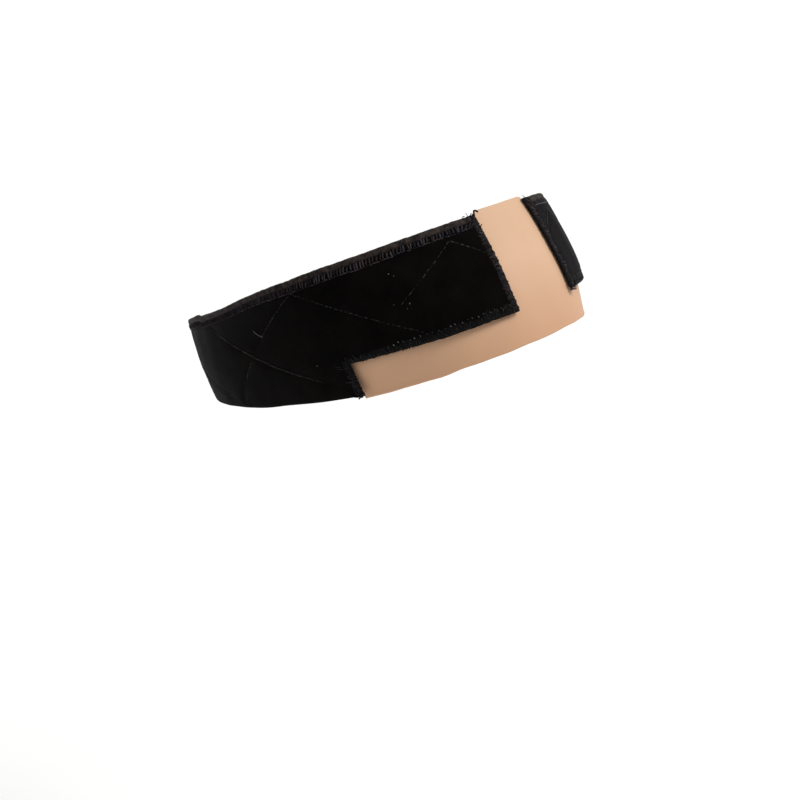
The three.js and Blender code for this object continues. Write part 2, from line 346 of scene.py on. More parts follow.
def add_piece(name, points, quads, material, values, triangles=np.zeros((0, 3), int)):
    """A mesh object on the band. values are named numbers or vectors for each point."""
    quads, triangles = facing_out(points, quads, triangles)
    used = np.unique(np.concatenate([quads.ravel(), triangles.ravel()]))
    place = np.zeros(len(points), int)
    place[used] = np.arange(len(used))
    mesh = bpy.data.meshes.new(name)
    mesh.from_pydata(points[used].tolist(), [], place[quads].tolist() + place[triangles].tolist())
    mesh.polygons.foreach_set("use_smooth", [True] * len(mesh.polygons))
    for key, value in values.items():
        value = np.asarray(value, np.float32)[used]
        kind = "FLOAT" if value.ndim == 1 else "FLOAT_VECTOR"
        field = mesh.attributes.new(key, kind, "POINT")
        field.data.foreach_set("value" if kind == "FLOAT" else "vector", value.ravel())
    mesh.materials.append(material)
    piece = bpy.data.objects.new(name, mesh)
    bpy.context.scene.collection.objects.link(piece)
    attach(piece, "root")
    return piece


# Materials

class Look:
    """Short hand for building one material's nodes."""

    def __init__(self, name):
        self.material = bpy.data.materials.new(name)
        self.material.use_nodes = True
        self.tree = self.material.node_tree
        self.shader = self.tree.nodes["Principled BSDF"]

    def plug(self, socket, value):
        """Links an output to the socket, or else gives the socket its value."""
        if isinstance(value, bpy.types.NodeSocket):
            self.tree.links.new(value, socket)
        else:
            socket.default_value = value

    def node(self, kind, inputs=None, **settings):
        made = self.tree.nodes.new(kind)
        for key, value in settings.items():
            setattr(made, key, value)
        for key, value in (inputs or {}).items():
            self.plug(made.inputs[key], value)
        return made

    def set(self, **values):
        for key, value in values.items():
            self.plug(self.shader.inputs[key.replace("_", " ")], value)

    def field(self, name, output="Fac"):
        return self.node("ShaderNodeAttribute", attribute_name=name).outputs[output]

    def place(self):
        return self.node("ShaderNodeTexCoord").outputs["Object"]

    def noise(self, vector, scale, detail, roughness):
        inputs = {"Vector": vector, "Scale": scale, "Detail": detail, "Roughness": roughness}
        return self.node("ShaderNodeTexNoise", inputs).outputs["Fac"]

    def ramp(self, value, low, high, to_low=0.0, to_high=1.0):
        inputs = {"Value": value, "From Min": low, "From Max": high, "To Min": to_low, "To Max": to_high}
        return self.node("ShaderNodeMapRange", inputs).outputs["Result"]

    def mix(self, share, first, second):
        made = self.node("ShaderNodeMix", {"Factor": share}, data_type="RGBA")
        for key, value in ((6, first), (7, second)):
            self.plug(made.inputs[key], (*value, 1) if isinstance(value, tuple) else value)
        return made.outputs[2]

    def maths(self, operation, first, second):
        return self.node("ShaderNodeMath", {0: first, 1: second}, operation=operation).outputs[0]

    def bump(self, height, distance, strength, under=None):
        inputs = {"Height": height, "Distance": distance, "Strength": strength}
        if under is not None:
            inputs["Normal"] = under
        return self.node("ShaderNodeBump", inputs).outputs["Normal"]


def velvet_look():
    """Short black pile: dark seen square on, with a grey bloom at a slant, and painted sheen that makes it
    paler and cooler high towards the back and over the left panel's front."""
    look = Look("velvet")
    place = look.place()
    nap = look.noise(place, 90, 3, 0.6)
    pile = look.noise(place, 4000, 2, 0.7)
    colour = look.mix(look.ramp(nap, 0.35, 0.7), (0.0017, 0.0013, 0.0012), (0.0042, 0.0034, 0.0032))
    colour = look.mix(look.ramp(pile, 0.5, 0.8, 0, 0.5), colour, (0.0048, 0.0044, 0.0044))
    # Painted sheen: a paler, cooler colour, mixed in where the field below is high.
    colour = look.mix(look.field("painted_sheen"), colour, (0.023, 0.0213, 0.0258))
    look.set(Base_Color=colour, Roughness=look.ramp(nap, 0.3, 0.7, 0.8, 0.95), Specular_IOR_Level=0.02,
             Sheen_Weight=0.127, Sheen_Roughness=0.24, Sheen_Tint=(0.94, 0.91, 1, 1))
    soft = look.bump(nap, 0.0004, 0.4)
    look.set(Normal=look.bump(pile, 0.00018, 0.75, soft))
    return look.material


def hem_look():
    """Black stretch cloth with fine ribs, with a blotchy painted highlight on the fold over the edge, and
    painted sheen towards the back.
    """
    look = Look("hem_cloth")
    place = look.place()
    cloth = look.field("cloth", "Vector")
    inputs = {"Vector": cloth, "Scale": 0.42, "Distortion": 2.0, "Detail": 2.0}
    wave = look.node("ShaderNodeTexWave", inputs, wave_type="BANDS", bands_direction="X")
    wear = look.noise(place, 160, 3, 0.6)
    colour = look.mix(look.ramp(wear, 0.35, 0.7), (0.0013, 0.0014, 0.0015), (0.0042, 0.0044, 0.0046))
    blotch = look.noise(place, 420, 2, 0.6)
    # Painted highlight on the fold over the edge, blotchy, mixed in by the fold field.
    pale = look.mix(look.ramp(blotch, 0.35, 0.65), (0.0095, 0.0078, 0.008), (0.045, 0.0335, 0.0305))
    # Painted sheen: a paler, purple-grey cloth colour towards the back.
    colour = look.mix(look.field("painted_back_sheen"), colour, (0.0195, 0.0155, 0.021))
    look.set(Base_Color=look.mix(look.field("fold"), colour, pale), Specular_IOR_Level=0.04,
             Roughness=look.ramp(wear, 0.3, 0.7, 0.65, 0.85),
             Sheen_Weight=0.07, Sheen_Roughness=0.4, Sheen_Tint=(0.96, 0.92, 0.97, 1))
    grain = look.bump(look.noise(place, 1800, 2, 0.6), 0.0002, 0.6)
    look.set(Normal=look.bump(wave.outputs["Fac"], 0.0002, 0.3, grain))
    return look.material


def thread_look(name, dark, light, warm, gloss):
    """Twisted thread. Each strand has its own shade, and the light colour turns warm in patches."""
    look = Look(name)
    place = look.place()
    fibre = look.noise(place, 3200, 2, 0.6)
    light = look.mix(look.ramp(look.noise(place, 260, 2, 0.5), 0.42, 0.58), light, warm)
    shade = look.maths("MULTIPLY", look.field("shade"), look.ramp(fibre, 0.3, 0.7, 0.6, 1.2))
    look.set(Base_Color=look.mix(shade, dark, light), Roughness=look.ramp(fibre, 0.3, 0.7, 0.45, 0.7),
             Specular_IOR_Level=gloss, Sheen_Weight=0.05, Sheen_Roughness=0.4)
    look.set(Normal=look.bump(fibre, 0.0002, 0.7))
    return look.material


def lace_look():
    """Fine skin-coloured net of two sets of crossing threads, with painted shade towards its lower edge and
    a painted shadow below the flaps.
    """
    look = Look("lace_net")
    cloth = look.field("cloth", "Vector")
    sets = []
    for direction in ("X", "Y"):
        turned = look.node("ShaderNodeMapping", {"Vector": cloth, "Rotation": (0, 0, math.radians(45))})
        inputs = {"Vector": turned.outputs["Vector"], "Scale": 0.55, "Distortion": 0.3, "Detail": 1.0}
        wave = look.node("ShaderNodeTexWave", inputs, wave_type="BANDS", bands_direction=direction)
        sets.append(wave.outputs["Fac"])
    net = look.maths("MAXIMUM", *sets)
    tone = look.noise(look.place(), 35, 2, 0.5)
    thread = look.mix(look.ramp(tone, 0.35, 0.65), (0.64, 0.415, 0.275), (0.68, 0.445, 0.3))
    colour = look.mix(look.ramp(net, 0.35, 0.9), (0.6, 0.38, 0.246), thread)
    # Painted shade: darker and redder towards the lower edge.
    height = look.node("ShaderNodeSeparateXYZ", {"Vector": cloth}).outputs["Y"]
    low = look.ramp(height, 5, -27)
    painted_shade = look.mix(low, (1, 1, 1), (0.85, 0.757, 0.695))
    # Painted shadow on the lace just below the flaps' foot, from the foot field.
    painted_shade = look.mix(look.ramp(look.field("foot"), 0, 1, 0, 0.3), painted_shade, (0.2, 0.14, 0.1))
    deep = look.node("ShaderNodeVectorMath", {0: colour, 1: painted_shade}, operation="MULTIPLY").outputs["Vector"]
    look.set(Base_Color=deep, Roughness=look.ramp(net, 0.2, 0.9, 0.8, 0.6), Specular_IOR_Level=0.2,
             Sheen_Weight=0.08, Sheen_Roughness=0.5)
    look.set(Normal=look.bump(net, 0.00005, 0.3))
    return look.material


def hook_tape_look():
    """Black woven tape with a dense field of tiny hooks."""
    look = Look("hook_tape")
    cloth = look.field("cloth", "Vector")
    dots = look.node("ShaderNodeTexVoronoi", {"Vector": cloth, "Scale": 1.6, "Randomness": 0.35})
    height = look.ramp(dots.outputs["Distance"], 0.1, 0.5, 1, 0)
    colour = look.mix(height, (0.004, 0.004, 0.0045), (0.014, 0.014, 0.015))
    look.set(Base_Color=colour, Roughness=look.ramp(height, 0, 1, 0.85, 0.5), Specular_IOR_Level=0.15)
    look.set(Normal=look.bump(height, 0.0004, 0.9))
    return look.material


velvet = velvet_look()
hem_cloth = hem_look()
thread = thread_look("overlock_thread", (0.0014, 0.0013, 0.0016), (0.044, 0.04, 0.053),
                     (0.053, 0.038, 0.037), 0.06)
quilt_thread = thread_look("quilting_thread", (0.0014, 0.0014, 0.0014), (0.036, 0.037, 0.037),
                           (0.04, 0.035, 0.034), 0.08)
pale_thread = thread_look("loose_pale_thread", (0.003, 0.0034, 0.003), (0.14, 0.15, 0.14),
                          (0.15, 0.14, 0.13), 0.15)
lace = lace_look()
hook_tape = hook_tape_look()


# Cloth pieces

def quilt_points(line, count=25):
    """Points of a quilting line as length and drop below the top edge."""
    start, end = np.array(line["start"], float), np.array(line["end"], float)
    share = np.linspace(0, 1, count)[:, None]
    return start + (end - start) * share + np.array([0, line["bow"]]) * 4 * share * (1 - share)


def distance_to_quilting(length, drop):
    """Distance from places on the panel to the nearest quilting line."""
    place = np.stack([length, drop], -1)
    nearest = np.full(length.shape, 1e9)
    for line in QUILT_LINES:
        points = quilt_points(line)
        for start, end in zip(points[:-1], points[1:]):
            way = end - start
            share = np.clip(((place - start) @ way) / (way @ way), 0, 1)
            away = np.linalg.norm(place - start - share[..., None] * way, axis=-1)
            nearest = np.minimum(nearest, away)
    return nearest


def ripple(length, height, size, seed):
    """Low soft unevenness, from a few waves that cross."""
    own = np.random.default_rng(seed)
    total = np.zeros(np.broadcast(length, height).shape)
    for _ in range(7):
        turn, wave, phase = own.uniform(0, math.pi), own.uniform(9, 30), own.uniform(0, 2 * math.pi)
        total += np.sin((length * math.cos(turn) + height * math.sin(turn)) * 2 * math.pi / wave + phase)
    return total * size / 7


def rounded(distance):
    """Half thickness of the velvet near an edge, as a share of the full one."""
    near = np.clip(distance / CLOTH_EDGE, 0, 1)
    return np.maximum(0.18, np.sqrt(np.clip(1 - (1 - near) ** 2, 0, 1)))


def velvet_piece(word, side):
    edge = np.array([0, 0.1, 0.25, 0.5, 0.9])
    front = steps(PANEL_START - TUCK, STEP_INNER - TUCK, GRID)
    back = steps(STEP_INNER - TUCK, END_REACH - 1, GRID)[1:]
    lengths = np.concatenate([front, back, END_REACH - edge[::-1]])
    low = side_edge_at(lengths) + read_table(SIDE_TRIM, lengths)
    fold = flap_edge_at(lengths) + FLAP_HEM_HEIGHT + SEAM_GAP - TUCK
    high = top_at(lengths) - TOP_HEM_HEIGHT - SEAM_GAP + TOP_TUCK
    low_rows, high_rows = 16, 36
    lower = [low + e for e in edge]
    lower += [low + 1 + (fold - low - 1) * k / low_rows for k in range(1, low_rows + 1)]
    upper = [fold + (high - fold) * k / high_rows for k in range(1, high_rows + 1)]
    heights = np.stack(lower + upper, 1)
    long = np.broadcast_to(lengths[:, None], heights.shape)
    drop = top_at(lengths)[:, None] - heights
    half = VELVET_WALL / 2 * rounded(np.minimum(heights - low[:, None], END_REACH - long))
    valley = np.exp(-(distance_to_quilting(long, drop) / QUILT_SPREAD) ** 2)
    uneven = ripple(long, heights, 0.16, 3 if side == RIGHT else 4)
    outer_depth = -VELVET_WALL / 2 + half * (1 - valley * QUILT_SINK) + uneven
    inner_depth = -VELVET_WALL / 2 - half * (1 - valley * QUILT_SINK * 0.6) + uneven * 0.5
    fold_row = len(lower) - 1
    filled = np.ones((len(lengths) - 1, heights.shape[1] - 1), bool)
    filled[:len(front) - 1, :fold_row] = False
    points, faces = shell(wall(side, long, heights, outer_depth),
                          wall(side, long, heights, inner_depth), filled)
    flat = np.stack([long, heights, np.zeros_like(long)], -1).reshape(-1, 3)
    # Painted sheen: high on the panel towards the back, and over the left panel's front.
    painted_sheen = 0.25 * smoothstep(long, 100, 180) * smoothstep(heights, 5, 23)
    if side == LEFT:
        painted_sheen = painted_sheen + 0.22 * (1 - smoothstep(long, 36, 80))
    piece = add_piece(f"velvet_cloth_{word}", points, faces, velvet,
                      {"cloth": np.concatenate([flat, flat]), "painted_sheen": np.tile(painted_sheen.ravel(), 2)})
    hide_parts(f"velvet_panel_{word}")
    return piece


# Section of the top hem, from its free edge inwards: at is millimetres from the edge, and outer and
# inner are the depths of its two faces
TOP_HEM_SECTION = [
    {"at": 0.0, "outer": -0.6, "inner": -0.9},
    {"at": 0.12, "outer": -0.25, "inner": -1.2},
    {"at": 0.35, "outer": 0.1, "inner": -1.5},
    {"at": 0.7, "outer": 0.32, "inner": -1.7},
    {"at": 1.1, "outer": 0.38, "inner": -1.8},
    {"at": 1.7, "outer": 0.34, "inner": -1.85},
    {"at": 2.2, "outer": 0.22, "inner": -1.9},
    {"at": 2.6, "outer": -0.06, "inner": -1.95},
    {"at": 2.9, "outer": -0.3, "inner": -1.95},
    {"at": 3.6, "outer": -0.34, "inner": -1.95},
    {"at": 4.3, "outer": -0.28, "inner": -1.95},
    {"at": 4.7, "outer": -0.12, "inner": -1.85},
    {"at": 5.0, "outer": -0.6, "inner": -1.4},
]
FLAP_HEM_SECTION = [
    {"at": 0.0, "outer": -0.75, "inner": -1.05},
    {"at": 0.12, "outer": -0.35, "inner": -1.5},
    {"at": 0.45, "outer": -0.08, "inner": -1.9},
    {"at": 1.0, "outer": 0.04, "inner": -2.14},
    {"at": 2.0, "outer": 0.06, "inner": -2.2},
    {"at": 2.9, "outer": 0.03, "inner": -2.1},
    {"at": 3.5, "outer": -0.06, "inner": -1.95},
    {"at": 4.0, "outer": -0.6, "inner": -1.4},
]
OVERLOCK_SECTION = [
    {"at": 0.0, "outer": -0.6, "inner": -0.8},
    {"at": 0.12, "outer": -0.28, "inner": -1.1},
    {"at": 0.45, "outer": -0.06, "inner": -1.32},
    {"at": 1.1, "outer": 0.0, "inner": -1.42},
    {"at": 2.2, "outer": 0.0, "inner": -1.5},
    {"at": 3.2, "outer": -0.12, "inner": -1.55},
    {"at": 3.9, "outer": -0.6, "inner": -1.4},
]


def section_columns(section):
    return (np.array([row[key] for row in section], float) for key in ("at", "outer", "inner"))


def hem_shell(side, start, end, edge_at, direction, section, uneven):
    """Rolled strip along an upper or lower edge. direction is 1 where it goes up from the edge."""
    lengths = steps(start, end, 0.8)[:, None]
    at, outer, inner = section_columns(section)
    free = edge_at(lengths) + ripple(lengths, 0 * lengths, uneven, 11)
    free = free + ripple(lengths * 5, 0 * lengths, uneven, 13)
    heights = free + direction * at
    lumps = ripple(lengths * 2.2, heights, 0.12, 12)
    points, faces = shell(wall(side, lengths, heights, outer + lumps),
                          wall(side, lengths, heights, inner + lumps))
    flat = np.stack(np.broadcast_arrays(lengths, heights, 0 * heights), -1).reshape(-1, 3)
    return points, faces, np.concatenate([flat, flat]), np.tile(at, 2 * len(lengths))


def hem_top_at(length):
    """Top edge of the hem, which the ladder's pull sets a little lower, and more so towards the back."""
    sag = 0.3 * plateau(length, 50, 68, 98, 125)
    pull = 0.35 + sag + 0.8 * smoothstep(length, 130, 156)
    return top_at(length) - pull + 1.2 * smoothstep(length, 176, 182)


def hem_foot_at(length):
    """Lower edge of the flap's hem, which creeps up towards the step."""
    return flap_edge_at(length) + 0.1 + 0.85 * smoothstep(length, 40, 84)


def overlock_shell(side, start, low, high, section):
    """Cloth core of an upright stitched edge. low and high give the heights of its two ends."""
    at, outer, inner = section_columns(section)
    share = np.linspace(0, 1, 90)[:, None]
    lengths = (start + at)[None, :] + ripple(share * 300, 0 * share, 0.6, 43)
    heights = low(lengths) + (high(lengths) - low(lengths)) * share
    return shell(wall(side, lengths, heights, outer), wall(side, lengths, heights, inner))


def top_hem_piece(word, side):
    points, faces, flat, at = hem_shell(side, PANEL_START - HEM_LEAD, END_REACH, hem_top_at, -1,
                                        TOP_HEM_SECTION, 0.15)
    # Painted highlight on the fold, narrower and fainter towards the back.
    back = smoothstep(flat[:, 0], 95, 150)
    fold = (1 - 0.22 * back) * (1 - smoothstep(at, 1.9 - 0.5 * back, 3.0 - 0.5 * back))
    # Painted sheen towards the back of the top hem.
    piece = add_piece(f"top_hem_cloth_{word}", points, faces, hem_cloth,
                      {"cloth": flat, "fold": fold, "painted_back_sheen": smoothstep(flat[:, 0], 95, 160)})
    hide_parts(f"top_hem_{word}")
    return piece


def flap_hem_piece(word, side):
    end = STEP_REACH + 1
    points, faces, flat, at = hem_shell(side, PANEL_START - HEM_LEAD, end, hem_foot_at, 1,
                                        FLAP_HEM_SECTION, 0.22)
    # A faint painted highlight along the roll at the hem's free edge.
    piece = add_piece(f"flap_hem_cloth_{word}", points, faces, hem_cloth,
                      {"cloth": flat, "fold": 0.12 * (1 - smoothstep(at, 0.3, 2.4)), "painted_back_sheen": 0 * at})
    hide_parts(f"flap_hem_{word}")
    return piece


# Stitches

def jitter(shape, size):
    return rng.uniform(-size, size, shape)


def on_wall(side, lines):
    """Lines of length, height and depth, as points in metres."""
    return wall(side, lines[..., 0], lines[..., 1], lines[..., 2])


def patches(along, seed):
    """Uneven tone along a row of stitches, from about 0.3 to 1."""
    return np.clip(0.68 + ripple(along * 1.6, 0 * along, 0.9, seed), 0.25, 1)


def ladder_piece(word, side):
    """Ladder of thread below the top hem's fold: upright bars, slanting needle thread and a chain."""
    made = Threads()
    bars = steps(PANEL_START + 0.9, END_REACH - 1.2, BAR_PITCH)
    bars = bars + jitter(bars.shape, 0.26)
    top = hem_top_at(bars)
    lean = 2.4 * (1 - smoothstep(bars, PANEL_START, PANEL_START + 8))
    foot = 4.65 + 0.45 * plateau(bars, 50, 70, 100, 125)
    tall = 0.9 * plateau(bars, 98, 110, 128, 142)
    upper, lower = 2.6 - tall + jitter(bars.shape, 0.45), foot + jitter(bars.shape, 0.3)
    slant = 0.25 + jitter(bars.shape, 0.5)
    # Painted shade: the bars are dimmed towards the back.
    tone = 1.5 * patches(bars, 31) * (1 - 0.68 * smoothstep(bars, 118, 152))
    rise = [-0.25, 0.1, 0.2, 0.18, 0.04, -0.35]
    share = np.linspace(0, 1, len(rise))
    lines = np.stack([np.stack([bars + slant * s - lean * (1 - s), top - upper - (lower - upper) * s,
                                np.full(bars.shape, r)], -1) for s, r in zip(share, rise)], 1)
    made.add(on_wall(side, curve_through(lines, 11)), BAR_RADIUS * rng.uniform(0.65, 1.15, len(bars)), 7,
             tone * rng.uniform(0.35, 1.1, len(bars)))
    lines = np.stack([np.stack([bars[:-1] * (1 - s) + bars[1:] * s, (top - foot + 0.2 + 1.7 * s)[:-1],
                                np.full(len(bars) - 1, 0.0)], -1) for s in (0, 0.35, 0.7, 1)], 1)
    made.add(on_wall(side, curve_through(lines, 7)), FINE_RADIUS, 5, rng.uniform(0, 0.3, len(bars) - 1))
    lines = np.stack([np.stack([bars + (s - 0.5) * 1.7,
                                top - foot - 0.3 * math.sin(math.pi * s) + slant * 0.4,
                                np.full(bars.shape, 0.16 - 1.6 * (s - 0.5) ** 2)], -1)
                      for s in (0, 0.3, 0.7, 1)], 1)
    chain_tone = 1 - 0.25 * smoothstep(bars, 112, 150)
    made.add(on_wall(side, curve_through(lines, 7)), 0.19 * rng.uniform(0.7, 1.1, len(bars)), 6,
             chain_tone * patches(bars, 32) * rng.uniform(0.2, 1.5, len(bars)) ** 1.5)
    return made.piece(f"top_hem_stitches_{word}", thread, "thread")


def add_wraps(made, side, start, heights, slant, tone):
    """Threads that wrap an upright edge: strokes on its face, thin turns round it and strokes inside."""
    count = len(heights)
    reach = 2.9 + ripple(heights * 2, 0 * heights, 1.2, 41) + jitter(count, 0.55)
    rise = jitter(count, 0.4)
    for path, radius, low_tone, high_tone in (
            ([(1.0, -0.35), (0.86, 0.02), (0.5, 0.14), (0.24, 0.05), (0.1, -0.32)], WRAP_RADIUS, 0.2, 1),
            ([(0.14, -0.18), (0.05, -0.38), (0.02, -0.7), (0.05, -0.98), (0.14, -1.2)], 0.2, 0, 0.5),
            ([(0.1, -1.14), (0.26, -1.44), (0.6, -1.56), (0.95, -1.5)], WRAP_RADIUS, 0.1, 0.5)):
        lines = np.stack([np.stack([start + reach * along,
                                    heights - slant * along + rise * math.sin(5 * along),
                                    np.full(count, depth)], -1) for along, depth in path], 1)
        made.add(on_wall(side, curve_through(lines, 12)), radius * rng.uniform(0.55, 1.2, count), 6,
                 tone * rng.uniform(low_tone, high_tone, count))


def add_tangle(made, side, lengths, heights, reach, radius, tone):
    """Short crossing strands that lie over a stitched place in any direction."""
    count = len(lengths)
    turn = rng.uniform(0, 2 * math.pi, count)
    far = reach * rng.uniform(0.6, 1, count)
    bend = jitter(count, 0.35)
    lines = np.stack([np.stack([lengths + np.cos(turn + bend * s) * far * s,
                                heights + np.sin(turn + bend * s) * far * s,
                                np.full(count, 0.22 - 1.5 * s * s)], -1)
                      for s in (-0.5, -0.2, 0.2, 0.5)], 1)
    made.add(on_wall(side, curve_through(lines, 8)), radius * rng.uniform(0.7, 1.2, count), 5, tone)


def overlock_piece(word, side, name, start, low, high, fan_top, tone_at):
    """Upright stitched edge: a dark cloth core with uneven wraps of thread over its face.
    tone_at gives the paleness of the thread for each height."""
    made = Threads()
    made.add_shell(*overlock_shell(side, start, low, high, OVERLOCK_SECTION), 0.1)
    bottom, top = float(low(start + 1)), float(high(start + 1))
    heights = steps(bottom + 0.3, top - 0.3, WRAP_PITCH)
    heights = heights + jitter(heights.shape, 0.4)
    slant = 0.5 + fan_top * smoothstep(heights, top - 8, top) + jitter(heights.shape, 0.9)
    add_wraps(made, side, start, heights, slant, tone_at(heights) * patches(heights, 42))
    heights = np.repeat(heights, 2)
    count = len(heights)
    add_tangle(made, side, start + rng.uniform(0.6, 3.3, count), heights + jitter(count, 0.6), 2.3,
               FINE_RADIUS * 1.2, tone_at(heights) * rng.uniform(0, 1, count) ** 2)
    along = steps(bottom, top, WRAP_PITCH / 6)
    swing = np.sin(along * 5) * 0.22 + jitter(along.shape, 0.08)
    depth = np.cos(along * 4.3) * 0.1 - 0.06
    line = np.stack([start + OVERLOCK_WIDTH - 0.3 + swing, along, depth], -1)[None]
    made.add(on_wall(side, line), 0.13, 5, 0.25 * float(tone_at(heights).mean()))
    piece = made.piece(f"{name}_thread_{word}", thread, "thread")
    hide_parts(f"{name}_{word}")
    return piece


def stitch_line(made, side, line):
    """Running stitches along the seen shares of a quilting line, sunk into the pile by uneven amounts."""
    points = quilt_points(line)
    points[:, 1] = top_at(points[:, 0]) - points[:, 1]
    way = np.concatenate([[0], np.cumsum(np.linalg.norm(np.diff(points, axis=0), axis=1))])
    for low, high in line["seen"]:
        starts = np.arange(low * way[-1], high * way[-1] - QUILT_STITCH, QUILT_STITCH + QUILT_SPACE)
        count = len(starts)
        stitch = QUILT_STITCH * rng.uniform(0.75, 1.1, (count, 1))
        at = starts[:, None] + stitch * np.array([0, 0.18, 0.5, 0.82, 1]) + jitter((count, 1), 0.2)
        lengths, heights = np.interp(at, way, points[:, 0]), np.interp(at, way, points[:, 1])
        heights = heights + jitter((count, 1), 0.12)
        sunk = line["out"] + rng.uniform(-0.1, 0.04, (count, 1)) - VELVET_WALL / 2 * QUILT_SINK
        depths = sunk + np.array([-0.3, 0.02, 0.1, 0.02, -0.3])
        lines = curve_through(np.stack([lengths, heights, depths], -1), 9)
        radius = np.interp(starts, [0, way[-1]], line["thread"])
        made.add(on_wall(side, lines), radius * rng.uniform(0.8, 1.15, count), 6,
                 rng.uniform(0.05, 1.1, count))


def quilting_piece(word, side):
    made = Threads()
    for line in QUILT_LINES:
        stitch_line(made, side, line)
    return made.piece(f"quilting_stitches_{word}", quilt_thread, "thread")


def flap_stitches_piece(word, side):
    """Small stitches above the flap's turned-up hem, with slanting strokes at the front corner, fuzz at
    the step and short ends of pile along the foot."""
    made = Threads()
    fold = FLAP_HEM_HEIGHT + 0.2
    along = steps(PANEL_START + 1.5, 70, DOT_PITCH)
    along = along + jitter(along.shape, 0.5)
    height = flap_edge_at(along) + fold + jitter(along.shape, 0.35)
    tilt = rng.uniform(0.1, 0.35, along.shape)
    lines = np.stack([np.stack([along + 0.16 * s, height + tilt * s, 0 * along + 0.1 - 0.3 * s * s], -1)
                      for s in (-1, -0.4, 0.4, 1)], 1)
    made.add(on_wall(side, curve_through(lines, 7)), 0.17, 6, rng.uniform(0.05, 1, len(along)) ** 1.8)
    for low, high, pitch, lift, tone in ((PANEL_START - 2, PANEL_START + 10, 0.8, 2.9, 0.34),
                                         (PANEL_START, 72, 1.1, 1.2, 0.07),
                                         (70, STEP_REACH - 1, 1.5, 1.9, 0.13)):
        bars = steps(low, high, pitch)
        bars = bars + jitter(bars.shape, 0.6)
        count = len(bars)
        foot = flap_edge_at(bars) + lift + jitter(count, 0.7)
        slant = 0.3 + jitter(count, 1.1)
        tall = rng.uniform(0.7, 1.7, count)
        lines = np.stack([np.stack([bars + slant * s, foot + tall * s,
                                    np.full(count, 0.24 - 1.2 * (s - 0.5) ** 2)], -1)
                          for s in (0, 0.3, 0.7, 1)], 1)
        made.add(on_wall(side, curve_through(lines, 8)), FINE_RADIUS, 5,
                 tone * rng.uniform(0.05, 1, count) ** 1.5)
    ends = rng.uniform(58, 84, 44)
    foot = hem_foot_at(ends)
    reach = rng.uniform(0, 0.65, len(ends)) ** 1.3
    lean = jitter(len(ends), 0.6)
    lines = np.stack([np.stack([ends + lean * s, foot + 0.5 - (0.5 + reach) * s, 0 * ends - 0.5 * s], -1)
                      for s in (0, 0.4, 0.7, 1)], 1)
    made.add(on_wall(side, curve_through(lines, 6)), 0.11, 5, 0.0)
    return made.piece(f"flap_hem_stitches_{word}", pale_thread, "thread")


def front_tone(height):
    return 1.65 + 0 * height


def notch_tone(height):
    """Dim thread at the step, and dimmer still above the foot of the flap."""
    foot = flap_edge_at(STEP_REACH)
    return 0.36 * (1 - 0.8 * smoothstep(height, foot - 0.3, foot + 1.2))


for word, side in (("right", RIGHT), ("left", LEFT)):
    panel = velvet_piece(word, side)
    hem = top_hem_piece(word, side)
    flap_hem = flap_hem_piece(word, side)
    ladder = ladder_piece(word, side)
    front_edge = overlock_piece(word, side, "front_overlock", BROW_GAP / 2 - FRONT_LEAD, flap_edge_at,
                                hem_top_at, 2.4, front_tone)
    notch = overlock_piece(word, side, "notch_overlock", STEP_REACH, side_edge_at,
                           lambda length: flap_edge_at(length) + FLAP_HEM_HEIGHT, 0, notch_tone)
    quilting = quilting_piece(word, side)
    flap_stitches = flap_stitches_piece(word, side)


# Lace panel and fastening

def lace_piece():
    end = STEP_REACH + OVERLOCK_WIDTH
    lengths = steps(-end, end, 1.2)
    reach = np.abs(lengths)
    lead = np.where(lengths < 0, LACE_TUCK_LEAD, -0.2)
    tuck = smoothstep(reach, BROW_GAP / 2 - lead, BROW_GAP / 2 - lead + 3.5)
    high = top_at(lengths) + LACE_RISE - LACE_TUCK * tuck
    low = top_at(lengths) - LACE_HEIGHT * read_table(LACE_EDGE, angle_at(lengths))
    low = low + ripple(lengths, 0 * lengths, 0.35, 21)
    rows = np.concatenate([[0, 0.004, 0.01, 0.018], np.linspace(0.03, 0.97, 44), [0.982, 0.99, 0.996, 1]])
    heights = low[:, None] + (high - low)[:, None] * rows
    long = np.broadcast_to(lengths[:, None], heights.shape)
    border = np.minimum(rows, 1 - rows)
    half = np.interp(border, [0, 0.004, 0.01, 0.018, 0.03], [0.05, 0.26, 0.32, 0.26, 0.18])
    middle = -2.85 - 1.5 * smoothstep(-heights, 8, 30) + ripple(long * 0.7, heights * 0.7, 0.14, 22)
    below = smoothstep(flap_edge_at(reach)[:, None] - heights, -1, 3)
    middle = middle + 0.75 * (1 - smoothstep(np.abs(long), 17.5, 21 + 16 * below))
    points, faces = shell(wall(LEFT, long, heights, middle + half),
                          wall(LEFT, long, heights, middle - half))
    flat = np.stack([long, heights, 0 * long], -1).reshape(-1, 3)
    # Painted shadow on the lace just below the flaps' foot.
    foot = np.exp(-np.clip(hem_foot_at(long) - heights, 0, 9) / 1.3) * smoothstep(np.abs(long), 18, 21)
    piece = add_piece("lace_cloth", points, faces, lace,
                      {"cloth": np.concatenate([flat, flat]), "foot": np.tile(foot.ravel(), 2)})
    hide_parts("lace_front_panel")
    return piece


